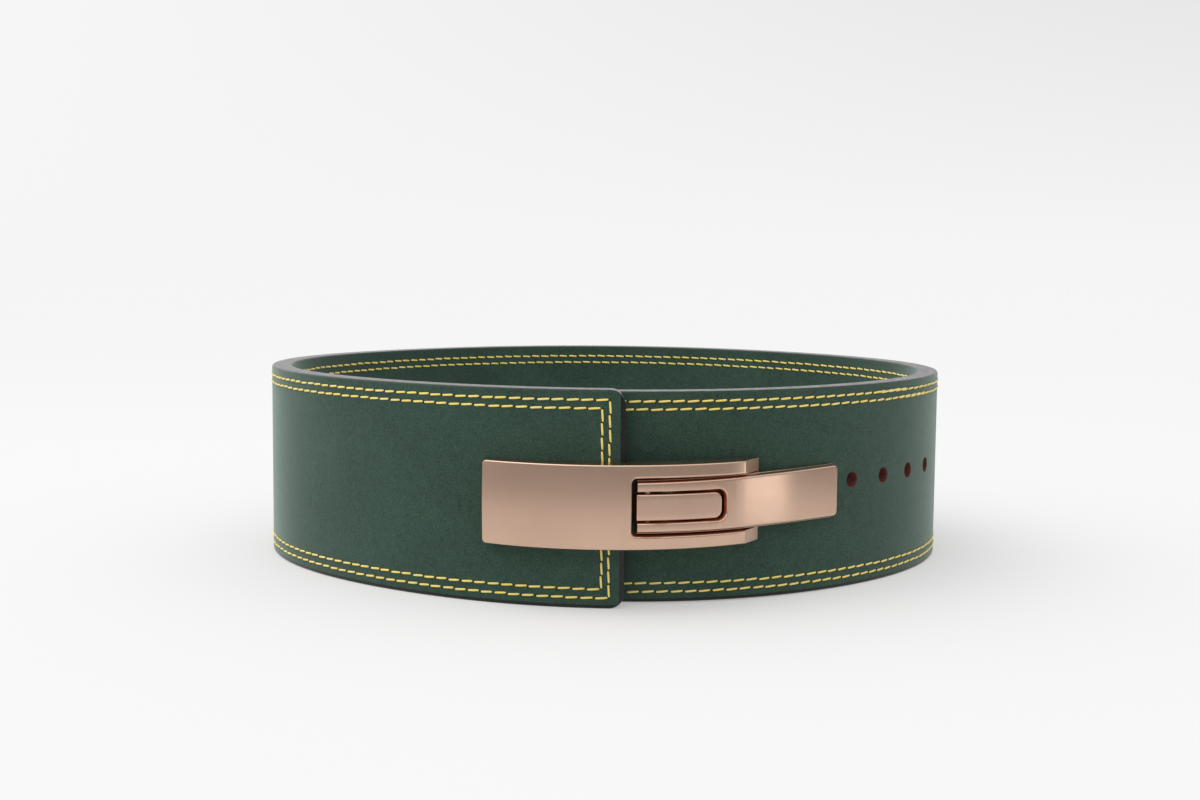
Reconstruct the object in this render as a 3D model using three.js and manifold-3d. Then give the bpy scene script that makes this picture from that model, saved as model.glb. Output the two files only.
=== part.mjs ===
// A lever belt for weightlifting: one thick leather strap closed into a loop, with an over-centre lever
// buckle. Millimetres, +Z up, buckle towards -Y. The loop is laid out round its own centre, lower edge at
// z = 0, and the finished belt is moved so that the middle of its base is the origin.
import * as THREE from "three";
import { mergeVertices } from "three/addons/utils/BufferGeometryUtils.js";
import Module from "manifold-3d";

// Strap
const loopRadius = 171; // outer face of the inner layer, mean over one turn
const strapThickness = 10.7;
const layerGap = 0.8; // between the two layers where the ends overlap
const topHeight = 98.8; // of the strap's upper edge at the front of the inner layer
const endHeight = 100.4; // of the upper edge at the outer end, one turn further on
const edgeBevel = 1.6;
const endCorner = 7;
const innerTail = 107; // length of the inner end behind the front centre line
const outerOverrun = 8.5; // length of the outer end past the front centre line
const lapLift = 0.7; // the inner layer rises this far off the base towards its end
const liftLength = 200; // of the stretch that rises, from the front centre line

// Waves that turn the round loop into its real outline: waves per turn, share of loopRadius towards the front
// and share towards the right.
const loopWaves = [
  [1, -0.01, 0.0213],
  [2, -0.0241, -0.0043],
  [3, -0.0066, 0.0045],
  [4, 0.0163, 0.003],
];

// Row of size holes
const holeDiameter = 7.9;
const holePitch = 25.4;
const firstHoleDistance = 4; // from the front centre line, along the strap
const holesBehind = 3; // towards the inner end
const holesAhead = 8;
const endHoles = 2; // in the outer end, behind the catch plate
const endHoleInset = 25;

// Catch plate
const plateRadius = 111.3; // outer face in plan
const plateProud = 12.17; // of that face in front of the strap's outer end
const plateCentreX = 1.2; // of its arc
const plateLeft = -57.1;
const plateRight = 64.4;
const plateHeight = 38.4;
const buckleHeight = 48.5; // middle of the buckle above the base
const holeRise = 4; // of the rows of holes above the middle of the buckle
const plateDepth = 13.1;
const plateSkin = 3.4;
const plateWall = 2.6;
const plateCorner = 2;
const armHeight = 6.05;
const armRake = 5.6; // how far the end of each arm leans to the right over its depth
const windowLeft = 11.4;
const windowCorner = 2.6;
const strapClearance = 0.5;
const prongDiameter = 7.3;
const prongShort = 0.5; // left between a prong's tip and the strap's inner face

// Lever
const leverLeft = 13.9;
const leverHeight = 23.8; // at the left end
const leverFlare = 2.2; // taller than that at the right end
const leverRise = 0.5; // of its middle, from the left end to the right
const leverBend = 36.5; // degrees of arc before the straight part
const leverStraight = 55.9;
const leverSkin = 2.4;
const leverFlange = 2;
const leverCorner = 3;
const forkEnd = 54.9;
const forkCorner = 4.6;
const flangeStart = 67;
const leverDeepest = 12.1; // of its sides, at the hinge
// Depth of the lever's sides: share of the lever's length, share of leverDeepest
const leverSides = [
  [0, 0.68],
  [0.3, 0.68],
  [0.42, 1],
  [0.52, 1],
  [0.62, 0.58],
  [1, 0.365],
];

// Base with its tongue
const tongueLeft = 13.4;
const tongueRight = 52.8;
const tongueHeight = 12.1;
const tongueSkin = 4.5;
const tongueCorner = 4;
const knuckleDepth = 8.4;
const knuckleEnd = 23;
const riserLeft = 43.5;
const riserRight = 49.5;
const riserLean = 1; // of the riser to the right, down to the foot
const footThickness = 2;
const footClearance = 0.4;
const footStart = 45; // along the strap
const footWideMargin = 9.2; // of its wide part before the first screw
const footEndMargin = 6.9; // past the last screw
const footHeight = 17.6;

// Pins and screws
const pinGap = 0.3; // round every pin and shank
const hingePinX = 61.6;
const hingePinDepth = 8.8; // of its axis behind the plate's outer face
const hingePinDiameter = 3.4;
const hingePinLength = 10.6;
const tonguePinX = 18.3;
const tonguePinDepth = 5;
const tonguePinDiameter = 3;
const tonguePinShort = 0.5; // at each end, behind the lever's edge
const baseHoles = [3, 4]; // places in the row of size holes
const shankDiameter = 7.3;
const threadDiameter = 5;
const headDiameter = 15;
const headThickness = 1.6;
const seatGap = 0.3;
const headSlotWidth = 1.5;
const headSlotDepth = 0.8;

// Smoothness
const stepLength = 7; // of the strap, along the loop
const leverSteps = 40;
const footSteps = 12;
const arcStep = 3; // degrees
const holeSides = 24;
const reach = 240; // longer than any cut through the belt
const outerLapReach = 90; // length of each layer that the buckle makes room for
const innerLapReach = 150;

const wasm = await Module();
wasm.setup();

const layerPitch = strapThickness + layerGap;
const holeHeight = buckleHeight + holeRise;
const fullTurn = 2 * Math.PI;

// Outline of the loop in plan: the point on the strap's outer face at an angle from the front, towards the
// right.
function loopPoint(turn) {
  let share = 1;
  for (const [waves, front, right] of loopWaves) {
    share += front * Math.cos(waves * turn) + right * Math.sin(waves * turn);
  }
  const radius = loopRadius * share + (layerPitch * turn) / fullTurn;
  return [radius * Math.sin(turn), -radius * Math.cos(turn)];
}

const plateCentreY = loopPoint(fullTurn)[1] - plateProud + plateRadius;

// A walk along the outline, with the distance from the front centre line at each step.
const walk = [];
const walkStep = fullTurn / 1440;
for (let turn = -1; turn < fullTurn + 0.3; turn += walkStep) {
  const point = loopPoint(turn);
  const last = walk[walk.length - 1];
  const far = last ? last.far + Math.hypot(point[0] - last.point[0], point[1] - last.point[1]) : 0;
  walk.push({ turn, point, far });
}
const walkAt = (key, value) => {
  const index = walk.findIndex((item) => item[key] >= value);
  const [a, b] = [walk[index - 1], walk[index]];
  const share = (value - a[key]) / (b[key] - a[key]);
  return { turn: a.turn + share * (b.turn - a.turn), far: a.far + share * (b.far - a.far) };
};
const frontFar = walkAt("turn", 0).far;
const loopLength = walkAt("turn", fullTurn).far - frontFar;
const strapEnd = loopLength + outerOverrun;

// Where the strap is at a distance along it: a point on the outer face and the direction out of it.
function placeOnStrap(along) {
  const turn = walkAt("far", along + frontFar).turn;
  const [ax, ay] = loopPoint(turn - walkStep);
  const [bx, by] = loopPoint(turn + walkStep);
  const length = Math.hypot(bx - ax, by - ay);
  const [x, y] = loopPoint(turn);
  return { x, y, outX: (by - ay) / length, outY: (ax - bx) / length, turn };
}

function strapPoint(along, inward, height) {
  const place = placeOnStrap(along);
  return [place.x - inward * place.outX, place.y - inward * place.outY, height];
}

// Section of the strap: a rectangle with bevelled edges, drawn in towards both ends for their round corners.
function strapSection(along) {
  const end = Math.min(along + innerTail, strapEnd - along);
  const lower = lapLift * THREE.MathUtils.smoothstep(liftLength - along, 0, liftLength);
  const upper = topHeight + ((endHeight - topHeight) * along) / loopLength;
  const faceInset = Math.max(0, edgeBevel - end);
  const drop = (inset) => {
    if (end >= endCorner) return inset;
    return endCorner - Math.sqrt(Math.max(0, (endCorner - inset) ** 2 - (endCorner - end) ** 2));
  };
  const low = drop(0);
  const faceLow = drop(edgeBevel - faceInset);
  const back = strapThickness;
  return [
    [edgeBevel, lower + low],
    [back - edgeBevel, lower + low],
    [back - faceInset, lower + faceLow],
    [back - faceInset, upper - faceLow],
    [back - edgeBevel, upper - low],
    [edgeBevel, upper - low],
    [faceInset, upper - faceLow],
    [faceInset, lower + faceLow],
  ].map(([inward, height]) => strapPoint(along, inward, height));
}

const cornerSteps = [0, 0.04, 0.12, edgeBevel / endCorner, 0.45, 0.7, 1].map((share) => share * endCorner);
const middleLength = strapEnd + innerTail - 2 * endCorner;
const middleSteps = Math.round(middleLength / stepLength);
const middleStation = (i) => endCorner - innerTail + ((i + 1) * middleLength) / middleSteps;
const stations = [
  ...cornerSteps.map((step) => step - innerTail),
  ...Array.from({ length: middleSteps - 1 }, (_, i) => middleStation(i)),
  ...cornerSteps.map((step) => strapEnd - step).reverse(),
];

// Solid skin over a row of sections that run round the same way.
function loft(sections) {
  const count = sections[0].length;
  const faces = [];
  for (let i = 0; i + 1 < sections.length; i++) {
    for (let j = 0; j < count; j++) {
      const [a, b] = [i * count + j, i * count + ((j + 1) % count)];
      faces.push(a, b, b + count, a, b + count, a + count);
    }
  }
  const last = (sections.length - 1) * count;
  for (let j = 1; j + 1 < count; j++) {
    faces.push(0, j + 1, j, last, last + j, last + j + 1);
  }
  const geometry = new THREE.BufferGeometry();
  geometry.setAttribute("position", new THREE.Float32BufferAttribute(sections.flat(2), 3));
  geometry.setIndex(faces);
  return geometry;
}

function solid(geometry) {
  const bare = geometry.clone();
  bare.deleteAttribute("normal");
  bare.deleteAttribute("uv");
  const merged = mergeVertices(bare, 1e-3);
  const triangles = [];
  const index = merged.index.array;
  for (let i = 0; i < index.length; i += 3) {
    const [a, b, c] = [index[i], index[i + 1], index[i + 2]];
    if (a !== b && b !== c && c !== a) triangles.push(a, b, c);
  }
  const vertProperties = merged.attributes.position.array;
  const triVerts = new Uint32Array(triangles);
  return new wasm.Manifold(new wasm.Mesh({ numProp: 3, vertProperties, triVerts }));
}

function shapeOf(points) {
  return new THREE.Shape(points.map(([x, y]) => new THREE.Vector2(x, y)));
}

// A plan outline raised between two heights.
function slab(points, low, high) {
  const geometry = new THREE.ExtrudeGeometry(shapeOf(points), { depth: high - low, bevelEnabled: false });
  return solid(geometry.translate(0, 0, low));
}

// An outline seen from the front, each corner with its own rounding, cut through from front to back.
function frontPanel(corners) {
  const shape = new THREE.Shape();
  corners.forEach(([x, z, rounding], i) => {
    const corner = new THREE.Vector2(x, z);
    const towards = (other) => {
      const [otherX, otherZ] = corners[(i + other + corners.length) % corners.length];
      return new THREE.Vector2(otherX, otherZ).sub(corner).setLength(rounding).add(corner);
    };
    const [before, after] = rounding ? [towards(-1), towards(1)] : [corner, corner];
    if (i) shape.lineTo(before.x, before.y);
    else shape.moveTo(before.x, before.y);
    if (rounding) shape.quadraticCurveTo(x, z, after.x, after.y);
  });
  const geometry = new THREE.ExtrudeGeometry(shape, { depth: reach, bevelEnabled: false, curveSegments: 5 });
  return solid(geometry.rotateX(Math.PI / 2));
}

const frontBlock = (left, right, low, high, leftRounding = 0, rightRounding = 0) =>
  frontPanel([
    [left, low, leftRounding],
    [right, low, rightRounding],
    [right, high, rightRounding],
    [left, high, leftRounding],
  ]);

// A round rod between two points.
function rod(from, to, diameter) {
  const [a, b] = [new THREE.Vector3(...from), new THREE.Vector3(...to)];
  const axis = b.clone().sub(a);
  const geometry = new THREE.CylinderGeometry(diameter / 2, diameter / 2, axis.length(), holeSides);
  const turned = new THREE.Quaternion().setFromUnitVectors(new THREE.Vector3(0, 1, 0), axis.normalize());
  geometry.applyQuaternion(turned);
  const middle = a.add(b).multiplyScalar(0.5);
  return solid(geometry.translate(middle.x, middle.y, middle.z));
}

// A rod square to the strap's face, between two distances inward from it.
function rodThroughStrap(along, height, from, to, diameter) {
  return rod(strapPoint(along, from, height), strapPoint(along, to, height), diameter);
}

// Strap with its holes
const sizeHole = (place) => firstHoleDistance + place * holePitch;
const endHole = (place) => strapEnd - endHoleInset - place * holePitch;
const holePlaces = [];
for (let place = -holesBehind; place <= holesAhead; place++) holePlaces.push(sizeHole(place));
for (let place = 0; place < endHoles; place++) holePlaces.push(endHole(place));
let strapSolid = solid(loft(stations.map(strapSection)));
for (const along of holePlaces) {
  const hole = rodThroughStrap(along, holeHeight, -edgeBevel, strapThickness + edgeBevel, holeDiameter);
  strapSolid = strapSolid.subtract(hole);
}

// Plan of the buckle: a point at a distance in from the plate's outer face, on its arc or on the straight
// beyond.
const bendAngle = THREE.MathUtils.degToRad(leverBend);
const angleAt = (x, depth = 0) => Math.asin((x - plateCentreX) / (plateRadius - depth));
const arcPoint = (angle, depth) => [
  plateCentreX + (plateRadius - depth) * Math.sin(angle),
  plateCentreY - (plateRadius - depth) * Math.cos(angle),
];
function arcRow(fromAngle, toAngle, depth) {
  const steps = Math.max(1, Math.ceil(Math.abs(toAngle - fromAngle) / THREE.MathUtils.degToRad(arcStep)));
  const angle = (i) => fromAngle + ((toAngle - fromAngle) * i) / steps;
  return Array.from({ length: steps + 1 }, (_, i) => arcPoint(angle(i), depth));
}
const leverStart = angleAt(leverLeft);
const leverArc = (bendAngle - leverStart) * plateRadius;
function leverPoint(share, depth) {
  const along = share * (leverArc + leverStraight);
  if (along <= leverArc) return arcPoint(leverStart + along / plateRadius, depth);
  const [x, y] = arcPoint(bendAngle, depth);
  return [x + (along - leverArc) * Math.cos(bendAngle), y + (along - leverArc) * Math.sin(bendAngle)];
}
const leverShares = Array.from({ length: leverSteps + 1 }, (_, i) => i / leverSteps);
const leverDepth = (share) => {
  const next = Math.max(1, leverSides.findIndex(([at]) => at >= share));
  const [[a, from], [b, to]] = [leverSides[next - 1], leverSides[next]];
  return leverDeepest * (from + ((to - from) * (share - a)) / (b - a));
};
const leverBand = (from, to) => [
  ...leverShares.map((share) => leverPoint(share, from)),
  ...leverShares.map((share) => leverPoint(share, to ?? leverDepth(share))).reverse(),
];

// Room that the buckle leaves to the strap, over the outer end and then down onto the inner layer.
function strapRoom(gap) {
  const outerLap = [];
  for (let along = strapEnd - outerLapReach; along < strapEnd; along += stepLength) {
    outerLap.push(strapPoint(along, -gap, 0));
  }
  const rim = [strapPoint(strapEnd, -gap, 0), strapPoint(strapEnd, strapThickness, 0)];
  const clear = rim.map(([x, y]) => [x + strapClearance, y]);
  const innerLap = [];
  for (let along = outerOverrun + 2 * strapClearance; along < innerLapReach; along += stepLength) {
    innerLap.push(strapPoint(along, -gap, 0));
  }
  return slab([...outerLap, ...clear, ...innerLap, [0, 0]].map(([x, y]) => [x, y]), 0, reach);
}
const room = strapRoom(strapClearance);

const plateLow = buckleHeight - plateHeight / 2;
const plateHigh = buckleHeight + plateHeight / 2;
const leverLow = buckleHeight - leverHeight / 2;
const leverHigh = buckleHeight + leverHeight / 2;
const leverRight = leverPoint(1, 0)[0];
const tongueLow = buckleHeight - tongueHeight / 2;
const tongueHigh = buckleHeight + tongueHeight / 2;
const forkGap = (forkEnd - tongueRight) / 2;
const forkLow = tongueLow - forkGap;
const forkHigh = tongueHigh + forkGap;

const hingeAt = arcPoint(angleAt(hingePinX, hingePinDepth), hingePinDepth);
const tonguePinAt = arcPoint(angleAt(tonguePinX, tonguePinDepth), tonguePinDepth);
const upright = ([x, y], low, high, diameter) => rod([x, y, low], [x, y, high], diameter);

// Catch plate: curved face with two arms, hollow behind the face, with two prongs into the strap's outer end.
const armBack = [plateRight + armRake, arcPoint(angleAt(plateRight), 0)[1] + plateDepth];
const platePlan = [
  ...arcRow(angleAt(plateLeft), angleAt(plateRight), 0),
  armBack,
  ...arcRow(angleAt(hingePinX, plateDepth), angleAt(plateLeft, plateDepth), plateDepth),
];
const pocketRight = windowLeft - plateWall;
const pocketPlan = [
  ...arcRow(angleAt(plateLeft + plateWall), angleAt(pocketRight), plateSkin),
  ...arcRow(angleAt(pocketRight), angleAt(plateLeft + plateWall), 3 * plateDepth),
];
const plateOutline = frontBlock(plateLeft, plateRight + reach, plateLow, plateHigh, plateCorner);
const plateWindow = frontBlock(windowLeft, reach, plateLow + armHeight, plateHigh - armHeight, windowCorner);
const pocketRoom = slab(pocketPlan, plateLow + plateWall, plateHigh - plateWall);
const insidePlate = slab(arcRow(-Math.PI, Math.PI - 0.05, plateSkin - pinGap), 0, reach);
let plateSolid = slab(platePlan, plateLow, plateHigh).intersect(plateOutline);
plateSolid = plateSolid.subtract(plateWindow).subtract(pocketRoom).subtract(room);
plateSolid = plateSolid.subtract(upright(hingeAt, 0, reach, hingePinDiameter + 2 * pinGap));
for (let place = 0; place < endHoles; place++) {
  const tip = strapThickness - prongShort;
  const prong = rodThroughStrap(endHole(place), holeHeight, -plateDepth, tip, prongDiameter);
  plateSolid = plateSolid.add(prong.intersect(insidePlate));
}

// Lever: a curved skin with a side along each edge, forked round the tongue, deepest at its hinge.
const leverSide = (gap) => [
  [leverLeft, leverLow + gap, 0],
  [leverRight - gap, leverLow + gap + leverRise - leverFlare / 2, gap ? 0 : leverCorner],
  [leverRight - gap, leverHigh - gap + leverRise + leverFlare / 2, gap ? 0 : leverCorner],
  [leverLeft, leverHigh - gap, 0],
];
const fork = frontBlock(0, forkEnd, forkLow, forkHigh, 0, forkCorner);
const behindSkin = slab(leverBand(leverSkin, 2 * plateDepth), 0, reach);
const underWeb = behindSkin.intersect(frontBlock(0, flangeStart + leverFlange, forkLow, forkHigh));
const underFlanges = behindSkin.intersect(frontPanel(leverSide(leverFlange)));
let leverSolid = slab(leverBand(0), 0, reach).intersect(frontPanel(leverSide(0))).subtract(fork);
leverSolid = leverSolid.subtract(underWeb);
leverSolid = leverSolid.subtract(underFlanges.intersect(frontBlock(flangeStart, reach, 0, reach)));
leverSolid = leverSolid.subtract(room);
leverSolid = leverSolid.subtract(upright(hingeAt, 0, reach, hingePinDiameter + 2 * pinGap));
leverSolid = leverSolid.subtract(upright(tonguePinAt, 0, reach, tonguePinDiameter + 2 * pinGap));

// Base: tongue flush with the lever, a riser behind it, and a foot screwed down on the strap.
const tonguePlan = [
  ...arcRow(angleAt(tongueLeft), angleAt(tongueRight), 0),
  ...arcRow(angleAt(tongueRight), angleAt(riserRight), tongueSkin),
  strapPoint(riserRight + riserLean, -footClearance - footThickness / 2, 0),
  strapPoint(riserLeft + riserLean, -footClearance - footThickness / 2, 0),
  ...arcRow(angleAt(riserLeft), angleAt(knuckleEnd), tongueSkin),
  ...arcRow(angleAt(knuckleEnd), angleAt(tongueLeft, knuckleDepth), knuckleDepth),
].map(([x, y]) => [x, y]);
const footBand = (from, to) => {
  const steps = Array.from({ length: footSteps + 1 }, (_, i) => from + ((to - from) * i) / footSteps);
  const top = steps.map((along) => strapPoint(along, -footClearance - footThickness, 0));
  const under = steps.map((along) => strapPoint(along, -footClearance, 0)).reverse();
  return [...top, ...under].map(([x, y]) => [x, y]);
};
const tongueOutline = frontBlock(tongueLeft, tongueRight, tongueLow, tongueHigh, 0, tongueCorner);
const footLow = buckleHeight - footHeight / 2;
const footWideStart = sizeHole(baseHoles[0]) - footWideMargin;
const footEnd = sizeHole(baseHoles[1]) + footEndMargin;
let baseSolid = slab(tonguePlan, tongueLow, tongueHigh).intersect(tongueOutline);
baseSolid = baseSolid.add(slab(footBand(footStart, footEnd), tongueLow, tongueHigh));
baseSolid = baseSolid.add(slab(footBand(footWideStart, footEnd), footLow, footLow + footHeight));
baseSolid = baseSolid.subtract(upright(tonguePinAt, 0, reach, tonguePinDiameter + 2 * pinGap));
for (const place of baseHoles) {
  const boreDiameter = threadDiameter + 2 * pinGap;
  const bore = rodThroughStrap(sizeHole(place), holeHeight, footClearance, -plateDepth, boreDiameter);
  baseSolid = baseSolid.subtract(bore);
}

// Screws: a wide slotted head inside the belt, a shank through the strap and a thread through the foot.
function baseScrew(along) {
  const headFace = strapThickness + seatGap + headThickness;
  const threadEnd = -footClearance - footThickness;
  const head = rodThroughStrap(along, holeHeight, strapThickness + seatGap, headFace, headDiameter);
  const shank = rodThroughStrap(along, holeHeight, 0, headFace - headSlotDepth, shankDiameter);
  const thread = rodThroughStrap(along, holeHeight, threadEnd, edgeBevel, threadDiameter);
  const [x, y] = strapPoint(along, headFace, 0);
  const slot = new THREE.BoxGeometry(2 * headDiameter, 2 * headSlotDepth, headSlotWidth);
  slot.rotateZ(placeOnStrap(along).turn).translate(x, y, holeHeight);
  return head.add(shank).add(thread).subtract(solid(slot));
}

const group = new THREE.Group();
function addPiece(name, shape, colour, roughness, metalness) {
  const made = shape.getMesh();
  const geometry = new THREE.BufferGeometry();
  geometry.setAttribute("position", new THREE.Float32BufferAttribute(made.vertProperties, 3));
  geometry.setIndex(new THREE.Uint32BufferAttribute(made.triVerts, 1));
  const material = new THREE.MeshStandardMaterial({ color: colour, roughness, metalness });
  const mesh = new THREE.Mesh(geometry, material);
  mesh.name = name;
  group.add(mesh);
}

const suedeGreen = 0x38564a;
const roseGold = 0xbe9f89;
const steelGrey = 0xa89a90;
addPiece("belt_strap", strapSolid, suedeGreen, 0.92, 0);
addPiece("catch_plate", plateSolid, roseGold, 0.32, 1);
addPiece("lever", leverSolid, roseGold, 0.32, 1);
addPiece("lever_base", baseSolid, roseGold, 0.32, 1);

const pinTop = plateHigh - pinGap;
const pinBottom = plateLow + pinGap;
const hingePinUpper = upright(hingeAt, pinTop - hingePinLength, pinTop, hingePinDiameter);
const hingePinLower = upright(hingeAt, pinBottom, pinBottom + hingePinLength, hingePinDiameter);
const tonguePinSpan = [leverLow + tonguePinShort, leverHigh - tonguePinShort];
const tonguePin = upright(tonguePinAt, ...tonguePinSpan, tonguePinDiameter);
addPiece("hinge_pin_upper", hingePinUpper, steelGrey, 0.3, 1);
addPiece("hinge_pin_lower", hingePinLower, steelGrey, 0.3, 1);
addPiece("tongue_pin", tonguePin, steelGrey, 0.3, 1);
addPiece("base_screw_left", baseScrew(sizeHole(baseHoles[0])), roseGold, 0.35, 1);
addPiece("base_screw_right", baseScrew(sizeHole(baseHoles[1])), roseGold, 0.35, 1);

// The middle of the belt's base becomes the origin.
const box = new THREE.Box3().setFromObject(group);
const middle = box.getCenter(new THREE.Vector3());
for (const mesh of group.children) {
  mesh.geometry.translate(-middle.x, -middle.y, -box.min.z);
}

export default group;
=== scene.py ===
# Lever belt for weightlifting: the leather loop, its seams and its buckle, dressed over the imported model.
import math
import random

import bpy
from mathutils import Matrix, Vector


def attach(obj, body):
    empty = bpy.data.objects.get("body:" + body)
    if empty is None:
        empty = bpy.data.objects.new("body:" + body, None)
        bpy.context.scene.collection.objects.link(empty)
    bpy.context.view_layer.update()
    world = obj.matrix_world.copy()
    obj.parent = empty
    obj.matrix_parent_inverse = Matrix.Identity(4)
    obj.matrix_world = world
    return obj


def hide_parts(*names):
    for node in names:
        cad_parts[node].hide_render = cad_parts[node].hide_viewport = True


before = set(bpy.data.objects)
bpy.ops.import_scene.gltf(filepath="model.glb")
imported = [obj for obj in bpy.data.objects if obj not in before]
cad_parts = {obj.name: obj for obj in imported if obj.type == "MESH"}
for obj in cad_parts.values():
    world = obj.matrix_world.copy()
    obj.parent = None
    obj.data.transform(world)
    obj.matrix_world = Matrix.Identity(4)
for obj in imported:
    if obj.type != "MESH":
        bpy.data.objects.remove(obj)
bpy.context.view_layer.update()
mm = 0.001
fullTurn = 2 * math.pi


# small tools for working on one piece at a time

def setDown():
    bpy.ops.object.select_all(action="DESELECT")


def pickUp(piece):
    setDown()
    piece.select_set(True)
    bpy.context.view_layer.objects.active = piece


def addBlock(name, low, high):
    setDown()
    middle = [(a + b) / 2 for a, b in zip(low, high)]
    bpy.ops.mesh.primitive_cube_add(size=1, location=middle, scale=[b - a for a, b in zip(low, high)])
    bpy.ops.object.transform_apply(location=True, rotation=True, scale=True)
    block = bpy.context.object
    block.name = block.data.name = name
    return block


def editWhere(piece, kind, test):
    # opens the piece for editing with only what passes the test selected
    pickUp(piece)
    mesh = piece.data
    bpy.context.tool_settings.mesh_select_mode = (kind == "VERT", kind == "EDGE", kind == "FACE")
    for items in (mesh.vertices, mesh.edges, mesh.polygons):
        items.foreach_set("select", [False] * len(items))
    if kind == "VERT":
        for vertex in mesh.vertices:
            vertex.select = test(vertex.co)
    elif kind == "EDGE":
        for edge in mesh.edges:
            edge.select = test(*(mesh.vertices[i].co for i in edge.vertices))
    else:
        for face in mesh.polygons:
            face.select = test(face.center, face.normal)
    bpy.ops.object.mode_set(mode="EDIT")


def stopEditing():
    bpy.ops.mesh.select_all(action="DESELECT")
    bpy.ops.object.mode_set(mode="OBJECT")


def near(a, b, slack=0.02 * mm):
    return abs(a - b) < slack


def cornersAt(x):
    # test for the edges that run in from the face at one place along a piece
    return lambda a, b: near(a.x, x) and near(b.x, x) and near(a.z, b.z)


def allCorners(a, b):
    return near(a.x, b.x) and near(a.z, b.z)


def frontRim(a, b):
    return near(a.y, 0) and near(b.y, 0)


def roundEdges(piece, test, radius, segments):
    editWhere(piece, "EDGE", test)
    bpy.ops.mesh.bevel(offset=radius, segments=segments, affect="EDGES", clamp_overlap=True)
    stopEditing()


def moveWhere(piece, test, step):
    editWhere(piece, "VERT", test)
    bpy.ops.transform.translate(value=step)
    stopEditing()


def cutThrough(piece, axis, places):
    # straight cuts right through, square to one axis, so that the piece can bend there
    editWhere(piece, "FACE", lambda middle, normal: True)
    square = Vector([axis == name for name in "XYZ"])
    for place in places:
        bpy.ops.mesh.select_all(action="SELECT")
        bpy.ops.mesh.bisect(plane_co=square * place, plane_no=square, threshold=0.00002)
    stopEditing()


def evenPlaces(start, end, step):
    count = max(1, round((end - start) / step))
    return [start + (end - start) * i / count for i in range(1, count)]


def applyModifiers(piece):
    pickUp(piece)
    for modifier in list(piece.modifiers):
        bpy.ops.object.modifier_apply(modifier=modifier.name)


def carve(piece, cutter, operation="DIFFERENCE"):
    modifier = piece.modifiers.new("carve", "BOOLEAN")
    modifier.operation = operation
    modifier.solver = "EXACT"
    modifier.object = cutter
    applyModifiers(piece)
    bpy.data.objects.remove(cutter, do_unlink=True)


def turnPiece(name, rings, sides):
    # a round piece along Y, drawn out ring by ring from (depth, radius) pairs
    setDown()
    bpy.ops.mesh.primitive_circle_add(vertices=sides, radius=rings[0][1], fill_type="NGON",
                                      rotation=(math.pi / 2, 0, 0), location=(0, rings[0][0], 0))
    bpy.ops.object.transform_apply(location=True, rotation=True, scale=True)
    piece = bpy.context.object
    piece.name = piece.data.name = name
    bpy.context.tool_settings.mesh_select_mode = (False, False, True)
    bpy.ops.object.mode_set(mode="EDIT")
    bpy.ops.mesh.select_all(action="SELECT")
    for (before, was), (depth, radius) in zip(rings, rings[1:]):
        bpy.ops.mesh.extrude_region_move(TRANSFORM_OT_translate={"value": (0, depth - before, 0)})
        bpy.ops.transform.resize(value=(radius / was, 1, radius / was), center_override=(0, depth, 0))
    bpy.ops.mesh.select_all(action="SELECT")
    bpy.ops.mesh.normals_make_consistent(inside=False)
    stopEditing()
    return piece


def smooth(piece, angle):
    pickUp(piece)
    bpy.ops.object.shade_smooth_by_angle(angle=math.radians(angle))


def markWalls(piece, low, high):
    # the walls that stand square to the face, between two heights, take the piece's second finish, the
    # painted reflection of the slits
    for face in piece.data.polygons:
        if abs(face.normal.y) < 0.3 and low < face.center.z < high:
            face.material_index = 1


def evenShading(piece):
    modifier = piece.modifiers.new("evenShading", "WEIGHTED_NORMAL")
    modifier.keep_sharp = True
    modifier.weight = 80
    applyModifiers(piece)


def joinPieces(name, pieces):
    setDown()
    for piece in pieces:
        piece.select_set(True)
    bpy.context.view_layer.objects.active = pieces[0]
    bpy.ops.object.join()
    pieces[0].name = pieces[0].data.name = name
    return pieces[0]


def clean(piece):
    editWhere(piece, "VERT", lambda place: True)
    bpy.ops.mesh.remove_doubles(threshold=0.000002)
    bpy.ops.mesh.dissolve_degenerate(threshold=0.000001)
    bpy.ops.mesh.select_all(action="SELECT")
    bpy.ops.mesh.normals_make_consistent(inside=False)
    stopEditing()


def finishPiece(piece, slot, materials, *nodes):
    for material in materials:
        piece.data.materials.append(material)
    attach(piece, "root")
    if nodes:
        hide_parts(*nodes)


# the outline of the loop, and the two paths that flat pieces are bent along

loop = {
    "radius": 171 * mm,
    "pitch": 11.5 * mm,  # how far one turn winds outwards: leather and the gap between layers
    "middle": (0.04 * mm, 6.11 * mm),
    # waves per turn, share towards the front, share towards the right
    "waves": [(1, -0.01, 0.0213), (2, -0.0241, -0.0043), (3, -0.0066, 0.0045), (4, 0.0163, 0.003)],
    "steps": 1440,
    "from": -1,  # where the path starts, and how far it runs, as angles
    "span": fullTurn + 1.3,
}


def loopPoint(turn):
    share = 1
    for waves, front, right in loop["waves"]:
        share += front * math.cos(waves * turn) + right * math.sin(waves * turn)
    radius = loop["radius"] * share + loop["pitch"] * turn / fullTurn
    x, y = loop["middle"]
    return Vector((x + radius * math.sin(turn), y - radius * math.cos(turn), 0))


def makePath(name, points):
    curve = bpy.data.curves.new(name, "CURVE")
    curve.dimensions = "2D"
    spline = curve.splines.new("POLY")
    spline.points.add(len(points) - 1)
    for knot, point in zip(spline.points, points):
        knot.co = (*point, 1)
    path = bpy.data.objects.new(name, curve)
    bpy.context.collection.objects.link(path)
    return path


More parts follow.
